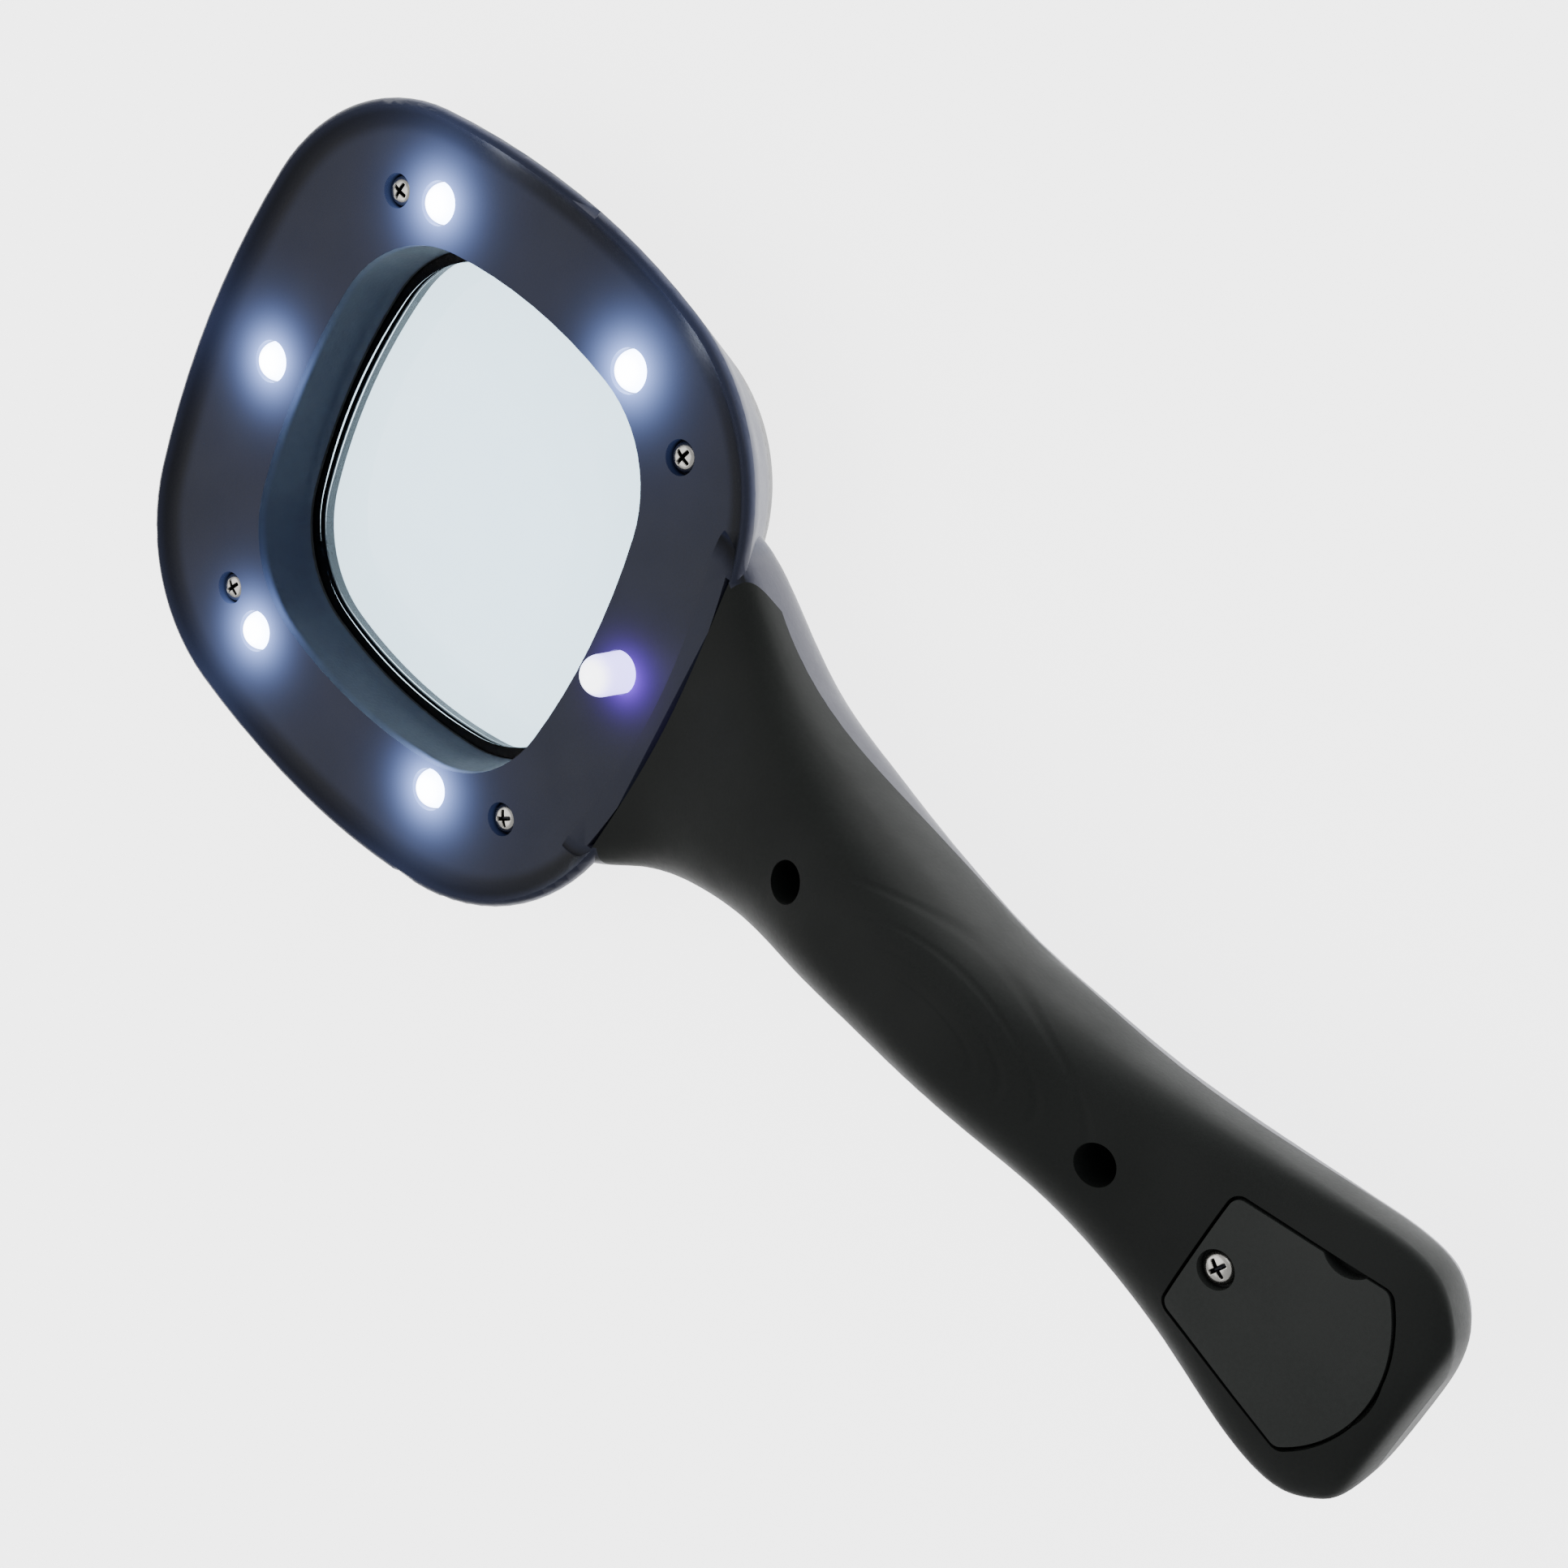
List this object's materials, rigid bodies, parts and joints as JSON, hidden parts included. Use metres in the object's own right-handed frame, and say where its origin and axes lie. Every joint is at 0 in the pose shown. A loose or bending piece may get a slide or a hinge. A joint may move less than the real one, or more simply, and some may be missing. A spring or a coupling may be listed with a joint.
{
  "type": "illuminated magnifying glass",
  "caption": "Handheld magnifying glass with a squared lens, lamps round the lens, a swelled handle and a screwed battery door.",
  "frame": {"origin": "centre of the bounding box, on the plane the glass rests on with its viewing side down", "axes": "+Y from the tail of the handle to the head, +Z out of the lamp side, +X across the head"},
  "size_m": [0.084, 0.191, 0.0268],
  "materials": {
    "body_plastic": "satin moulded ABS, charcoal with a violet tint",
    "cover_plastic": "fine satin moulded ABS, dark green-grey",
    "door_plastic": "fine satin moulded ABS, dark green-grey",
    "bezel_plastic": "satin moulded ABS",
    "lens_acrylic": "clear polished acrylic",
    "gasket_rubber": "soft black",
    "circuit_board": "green solder mask",
    "white_lamp": "clear epoxy, lit white",
    "uv_lamp": "clear epoxy, lit violet",
    "nickel_screw": "bright nickel plate",
    "cell_steel": "bare steel can",
    "pad_foam": "black foam",
    "cradle_plastic": "moulded ABS",
    "contact_metal": "nickel-plated spring steel",
    "knob_plastic": "moulded ABS",
    "switch_case": "pressed steel case",
    "resistor_body": "ceramic chip"
  },
  "bodies": {
    "magnifier": {"body_shell": "body_plastic", "front_bezel": "bezel_plastic", "handle_cover": "cover_plastic", "lens": "lens_acrylic", "lens_gasket": "gasket_rubber", "led_board": "circuit_board", "white_led_1": "white_lamp", "white_led_2": "white_lamp", "white_led_3": "white_lamp", "white_led_4": "white_lamp", "white_led_5": "white_lamp", "uv_led": "uv_lamp", "bezel_screw_1": "nickel_screw", "bezel_screw_2": "nickel_screw", "bezel_screw_3": "nickel_screw", "bezel_screw_4": "nickel_screw", "cover_screw_1": "nickel_screw", "cover_screw_2": "nickel_screw", "coin_cell_1": "cell_steel", "coin_cell_2": "cell_steel", "battery_cradle": "cradle_plastic", "negative_contact": "contact_metal", "positive_contact": "contact_metal", "switch_body": "switch_case", "switch_terminals": "contact_metal", "resistor_1": "resistor_body", "resistor_2": "resistor_body"},
    "battery_door": {"battery_door": "door_plastic", "door_pad": "pad_foam"},
    "door_screw": {"door_screw": "nickel_screw"},
    "slide_knob": {"slide_knob": "knob_plastic"}
  },
  "joints": [
    {"name": "battery_door_tilt", "type": "hinge", "parent": "magnifier", "child": "battery_door", "pos_m": [0, -0.0917, 0.0225], "axis": [1, 0, 0], "range_deg": [0, 50]},
    {"name": "door_screw_turn", "type": "hinge", "parent": "battery_door", "child": "door_screw", "pos_m": [0, -0.0729, 0.0213], "axis": [0, 0, 1], "continuous": true},
    {"name": "switch_slide", "type": "slide", "parent": "magnifier", "child": "slide_knob", "axis": [0, -1, 0], "range_m": [0, 0.004]}
  ]
}
